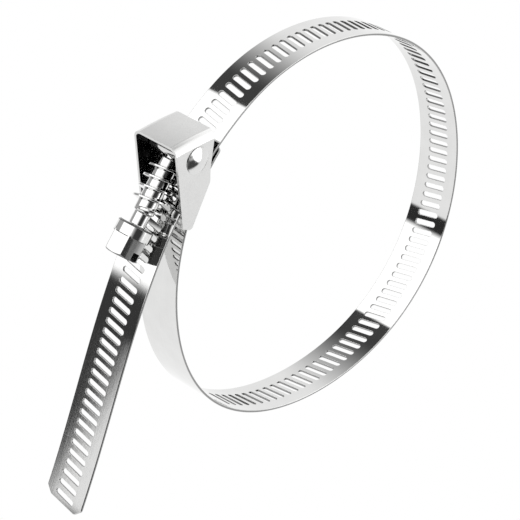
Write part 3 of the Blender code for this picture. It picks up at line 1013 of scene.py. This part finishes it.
@dataclass
class Screw:
    """The worm screw in one piece: journal, threaded core, neck, collar and slotted hexagon."""

    thread: Thread = field(default_factory=Thread)
    finish: SteelFinish = SCREW_FINISH
    journal_radius: float = 1.5
    shoulder_at: float = 2.7
    neck_radius: float = 2.05
    neck_from: float = 16.3
    collar_from: float = 19.7
    collar_to: float = 22.8
    collar_radius: float = 4.45
    hex_across_flats: float = 7.94
    hex_to: float = 27.7
    hex_turn_deg: float = 23.1
    flat_crown: float = 0.07
    crown_steps: int = 10
    driver_slot: tuple[float, float] = (1.5, 2.2)
    driver_slot_deg: float = 95.0
    washer_face: float = -2.9
    edge: float = 0.09
    edge_angle_deg: float = 34.0
    # Darkening of the head's edges, part duller steel and part painted shade, and painted shade inside the
    # driver slot.
    edge_dulling_and_shade: float = 0.75
    slot_painted_shade: float = 0.85
    steps: int = 96

    def turned_body(self) -> bpy.types.Object:
        """Everything that is turned about the axis, from the collar to the riveted-over tip."""
        core = self.thread.core_radius
        tip = self.washer_face
        corners = [(0.0, self.collar_to), (self.collar_radius, self.collar_to),
                   (self.collar_radius, self.collar_from + 0.35),
                   (self.collar_radius - 0.45, self.collar_from),
                   (self.neck_radius, self.collar_from), (self.neck_radius, self.neck_from + 0.35),
                   (core, self.neck_from), (core, self.shoulder_at), (self.journal_radius, self.shoulder_at),
                   (self.journal_radius, tip - 0.1), (self.journal_radius + 0.35, tip - 0.1),
                   (self.journal_radius + 0.35, tip - 0.28), (self.journal_radius - 0.1, tip - 0.5),
                   (0.0, tip - 0.5)]
        return object_of(turned(rounded_profile(corners, 0.22), self.steps), "worm_screw")

    def crowned(self, outline: Points) -> Points:
        """The outline with each long side bowed outwards a little, as a cold-formed head has."""
        points = []
        for start, end in zip(outline, outline[1:] + outline[:1]):
            points.append(start)
            first, side = Vector(start), Vector(end) - Vector(start)
            if side.length < 1.0:
                continue
            out = Vector((side.y, -side.x)).normalized() * self.flat_crown * 4
            points += [tuple(first + side * share + out * share * (1 - share))
                       for share in (step / self.crown_steps for step in range(1, self.crown_steps))]
        return points

    def hexagon(self) -> bpy.types.Object:
        """The slotted hexagon with its end corners turned off."""
        radius = self.hex_across_flats / math.sqrt(3.0)
        angles = [math.radians(self.hex_turn_deg + 60.0 * corner) for corner in range(6)]
        sharp = [(radius * math.cos(a), radius * math.sin(a)) for a in angles]
        rounded = filleted(sharp, 0.22, steps=4)
        outline = self.crowned(rounded)
        hexagon = object_of(prism(outline, self.collar_to - 0.4, self.hex_to), "hexagon")
        flat = self.hex_across_flats / 2
        below = self.collar_to - 1.0
        cone = rounded_profile([(0.0, self.hex_to), (flat - 0.3, self.hex_to),
                                (radius + 0.3, self.hex_to - 0.72), (radius + 0.3, below), (0.0, below)], 0.5)
        carve(hexagon, object_of(turned(cone, self.steps), "cone"), Carve.KEEP)
        width, depth = self.driver_slot
        bm = prism([(-8.0, -width / 2), (8.0, -width / 2), (8.0, width / 2), (-8.0, width / 2)],
                   self.hex_to - depth, self.hex_to + 1.0)
        turn = Matrix.Rotation(math.radians(self.driver_slot_deg), 3, "Z")
        bmesh.ops.rotate(bm, verts=bm.verts, matrix=turn)
        carve(hexagon, object_of(bm, "driver_slot"), Carve.CUT)
        clean(hexagon)
        bevel = hexagon.modifiers.new("ease", "BEVEL")
        bevel.width = self.edge
        bevel.segments = 2
        bevel.limit_method = "ANGLE"
        bevel.angle_limit = math.radians(self.edge_angle_deg)
        return settle(hexagon)

    def dulling_and_shade(self, middle: Vector, normal: Vector) -> float:
        """The head's turned-off corners and edges are darkened as duller steel and painted shade, and its
        driver slot gets painted shade inside.
        """
        if middle.z < self.collar_from - 0.02:
            return 0.0
        width, depth = self.driver_slot
        across = middle.xy.dot(Vector((-math.sin(math.radians(self.driver_slot_deg)),
                                       math.cos(math.radians(self.driver_slot_deg)))))
        # Painted shade inside the driver slot.
        if self.hex_to - depth - 0.02 < middle.z < self.hex_to - 0.12 and abs(across) < width / 2 + 0.02:
            return self.slot_painted_shade
        if abs(normal.z) > 0.995:
            return 0.0
        # Edges of the collar and the hexagon: duller steel and painted shade.
        if middle.z < self.collar_to:
            return self.edge_dulling_and_shade if abs(normal.z) > 0.08 else 0.0
        flats = [math.radians(self.hex_turn_deg + 30.0 + 60.0 * side) for side in range(6)]
        facing = max(normal.x * math.cos(a) + normal.y * math.sin(a) for a in flats)
        return 0.0 if facing > 0.99 else self.edge_dulling_and_shade

    def build(self) -> bpy.types.Object:
        """Builds the screw.

        Returns:
            The finished screw, riding on its own body.
        """
        screw = self.turned_body()
        carve(screw, self.thread.ridge(), Carve.JOIN)
        carve(screw, self.hexagon(), Carve.JOIN)
        clean(screw, 1e-5)
        shade(screw, 38.0)
        mark_dulling_and_shade(screw, self.dulling_and_shade)
        finish_piece(screw, screw_to_loop(), self.finish.material())
        return hand_over(screw, Body.SCREW, "screw")


@dataclass
class TipWasher:
    """The washer held against the trunnion by the screw's riveted-over tip."""

    finish: SteelFinish = WASHER_FINISH
    inner_radius: float = 1.62
    outer_radius: float = 2.6
    top: float = -2.35
    thickness: float = 0.5
    steps: int = 72

    def build(self) -> bpy.types.Object:
        """Builds the washer.

        Returns:
            The finished washer, riding on the screw's body.
        """
        bottom = self.top - self.thickness
        corners = [(self.inner_radius, self.top), (self.outer_radius, self.top), (self.outer_radius, bottom),
                   (self.inner_radius, bottom)]
        washer = object_of(turned(filleted(corners, 0.1, steps=4), self.steps), "rivet_washer")
        shade(washer, 40.0)
        finish_piece(washer, screw_to_loop(), self.finish.material())
        return hand_over(washer, Body.SCREW, "tip_washer")


# ---------------------------------------------------------------------------------------------- the studio


@dataclass(frozen=True)
class Panel:
    """A flag or a softbox that stands far off, as a patch of the sky.

    Attributes:
        level: Its brightness, 0 for a black flag and 1 for a full softbox.
        bearings: Where it begins and ends round the horizon, in degrees from +X towards +Y.
        heights: Its lower and upper edge, in degrees above the horizon.
        bearing_softness: How many degrees its two ends fade over.
        height_softness: How many degrees its two edges fade over.
    """

    level: float
    bearings: tuple[float, float]
    heights: tuple[float, float]
    bearing_softness: tuple[float, float] = (2.0, 2.0)
    height_softness: tuple[float, float] = (6.0, 6.0)

    def mask(self, nodes: NodeTree, bearing: bpy.types.NodeSocket,
             height: bpy.types.NodeSocket) -> bpy.types.NodeSocket:
        """How far a direction lies inside the panel, from 0 to 1."""
        first, last = self.bearings
        middle = (first + last) / 2
        offset = nodes.math("WRAP", nodes.math("SUBTRACT", bearing, middle), 180.0, -180.0)
        sides = ((offset, first - middle, self.bearing_softness[0], 1.0),
                 (offset, last - middle, self.bearing_softness[1], -1.0),
                 (height, self.heights[0], self.height_softness[0], 1.0),
                 (height, self.heights[1], self.height_softness[1], -1.0))
        inside = None
        for value, edge, soft, sense in sides:
            low, high = (0.0, 1.0) if sense > 0 else (1.0, 0.0)
            inputs = {0: value, 1: edge - soft / 2, 2: edge + soft / 2, 3: low, 4: high}
            share = nodes.add("ShaderNodeMapRange", inputs, interpolation_type="SMOOTHSTEP").outputs[0]
            inside = share if inside is None else nodes.math("MULTIPLY", inside, share)
        return inside


PANELS = (
    Panel(0.04, (-179.0, -139.0), (-91.0, 14.0), (50.0, 2.0), (1.0, 10.0)),  # black, low on the -X side
    Panel(0.28, (-139.5, 20.0), (-91.0, -44.0), (2.0, 30.0), (1.0, 6.0)),  # grey, low on the -Y side
    Panel(1.0, (-139.5, -71.0), (-42.0, 34.0), (2.0, 2.0), (3.0, 12.0)),  # white, level, on the -Y side
    Panel(0.03, (-165.0, 25.0), (44.0, 91.0), (16.0, 30.0), (22.0, 1.0)),  # black, overhead on the -Y side
    Panel(0.05, (25.0, 105.0), (80.0, 91.0), (30.0, 20.0), (16.0, 1.0)),  # black, straight up
    Panel(0.04, (20.0, 68.0), (44.0, 76.0), (14.0, 8.0), (10.0, 8.0)),  # black, high between +X and +Y
    Panel(0.02, (-84.0, -50.0), (24.0, 62.0), (6.0, 6.0), (8.0, 8.0)),  # black, high on the -Y side
    Panel(0.02, (-69.4, -58.5), (-36.6, 55.0), (3.2, 2.2), (1.0, 8.0)),  # black, narrow, beside it
    Panel(0.02, (-69.4, -61.2), (-91.0, -36.4), (3.2, 2.0), (1.0, 1.0)),  # its foot
    Panel(0.03, (-69.4, -52.0), (-91.0, -38.2), (3.2, 3.0), (1.0, 0.6)),  # its foot, wider
    Panel(1.0, (90.0, 178.0), (-24.0, 62.0), (16.0, 24.0), (14.0, 12.0)),  # white, between +Y and -X
    Panel(0.66, (70.0, 136.0), (-30.0, 44.0), (20.0, 16.0), (10.0, 8.0)),  # grey, over the edge of that white
)


@dataclass
class Studio:
    """Pale floor, a pale sky with the panels standing in it, a lamp and the camera."""

    camera_place: tuple[float, float, float] = (-89.3, -473.0, 353.6)
    camera_aim: tuple[float, float, float] = (0.1728, 0.7823, -0.5985)
    camera_roll_deg: float = 118.95
    lens: float = 166.05
    sensor: float = 36.0
    floor_size: float = 6.0
    floor_light: float = 1.0
    base: float = 0.66
    strength: float = 1.66

    def make_camera(self) -> None:
        """Sets up the camera that looks down on the lying clamp."""
        data = bpy.data.cameras.new("camera")
        data.sensor_width = self.sensor
        data.lens = self.lens
        data.clip_start = 0.01
        camera = bpy.data.objects.new("camera", data)
        bpy.context.scene.collection.objects.link(camera)
        aim = Vector(self.camera_aim).normalized()
        level = aim.cross(Vector((0.0, 0.0, 1.0))).normalized()
        right = Matrix.Rotation(-math.radians(self.camera_roll_deg), 3, aim) @ level
        turn = Matrix((right, right.cross(aim), -aim)).transposed()
        camera.matrix_world = Matrix.Translation(loop_to_world() @ Vector(self.camera_place)) @ turn.to_4x4()
        bpy.context.scene.camera = camera

    def make_floor(self) -> None:
        """Lays the pale floor under the clamp. It doesn't show in the steel's reflections."""
        bm = bmesh.new()
        bmesh.ops.create_grid(bm, x_segments=1, y_segments=1, size=self.floor_size / 2)
        floor = object_of(bm, "floor")
        floor.data.transform(Matrix.Translation((0.0, 0.0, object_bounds()[0].z - 0.0002)))
        material = bpy.data.materials.new("pale_floor")
        material.use_nodes = True
        material.node_tree.nodes.clear()
        nodes = NodeTree(material.node_tree)
        white = nodes.add("ShaderNodeEmission", {"Color": (1.0, 1.0, 1.0, 1.0), "Strength": self.floor_light})
        clear = nodes.add("ShaderNodeBsdfTransparent")
        glossy = nodes.add("ShaderNodeLightPath").outputs["Is Glossy Ray"]
        mix = nodes.add("ShaderNodeMixShader", {0: glossy, 1: white.outputs[0], 2: clear.outputs[0]})
        nodes.add("ShaderNodeOutputMaterial", {"Surface": mix.outputs[0]})
        floor.data.materials.append(material)
        floor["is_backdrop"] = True

    def make_world(self) -> None:
        """A pale sky, with each panel laid over it and over the panels before it."""
        world = bpy.data.worlds.new("studio")
        bpy.context.scene.world = world
        world.use_nodes = True
        world.node_tree.nodes.clear()
        nodes = NodeTree(world.node_tree)
        direction = nodes.add("ShaderNodeTexCoord").outputs["Generated"]
        x, y, z = nodes.add("ShaderNodeSeparateXYZ", {0: direction}).outputs
        bearing = nodes.math("DEGREES", nodes.math("ARCTAN2", y, x))
        height = nodes.math("DEGREES", nodes.math("ARCSINE", z))
        level = self.base
        for panel in PANELS:
            inputs = {0: panel.mask(nodes, bearing, height), 2: level, 3: panel.level}
            level = nodes.add("ShaderNodeMix", inputs, data_type="FLOAT").outputs[0]
        shine = nodes.add("ShaderNodeBackground", {"Color": level, "Strength": self.strength})
        nodes.add("ShaderNodeOutputWorld", {"Surface": shine.outputs[0]})

    def make_lamp(self) -> None:
        """A broad soft lamp high above."""
        data = bpy.data.lights.new("softbox", "AREA")
        data.shape = "DISK"
        data.size = 0.9
        data.energy = 3.0
        lamp = bpy.data.objects.new("softbox", data)
        lamp.location = (-0.27, 0.58, 1.2)
        lamp.rotation_mode = "QUATERNION"
        lamp.rotation_quaternion = (-lamp.location).to_track_quat("-Z", "Y")
        bpy.context.scene.collection.objects.link(lamp)

    def build(self) -> None:
        """Builds the whole studio."""
        bpy.context.scene.view_settings.view_transform = "Standard"
        self.make_camera()
        self.make_floor()
        self.make_world()
        self.make_lamp()


def main() -> None:
    """Builds the clamp and its studio."""
    logging.basicConfig(level=logging.INFO, format="%(name)s: %(message)s")
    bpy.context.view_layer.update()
    Studio().build()
    for part in (Band(), Bridge(), Trunnion(), Screw(), TipWasher()):
        part.build()


if __name__ == "__main__":
    main()
